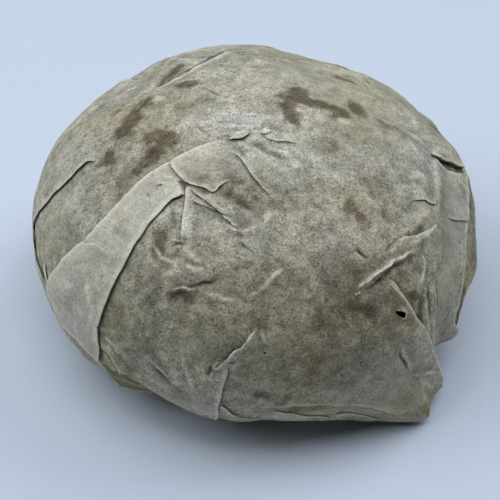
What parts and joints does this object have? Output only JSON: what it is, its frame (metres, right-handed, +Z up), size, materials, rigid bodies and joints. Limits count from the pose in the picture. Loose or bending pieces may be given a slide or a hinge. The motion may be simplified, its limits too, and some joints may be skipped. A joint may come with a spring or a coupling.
{
  "type": "pu-erh tuocha",
  "caption": "Nest-shaped dome of pressed tea folded into a sheet of soft, tea-stained paper, with lapped pleats, a loose corner and a gathered hollow underneath.",
  "frame": {"origin": "middle of the bounding box at the surface the pack rests on", "axes": "+Z up through the crown; the front, with the lapped pleat and the loose corner, is -Y; +X is to the right seen from the front"},
  "size_m": [0.084, 0.0849, 0.0462],
  "materials": {
    "wrapping_paper": "matte",
    "pressed_tea": "matte"
  },
  "bodies": {
    "root": {"wrapper": "wrapping_paper", "tea": "pressed_tea"}
  },
  "joints": []
}
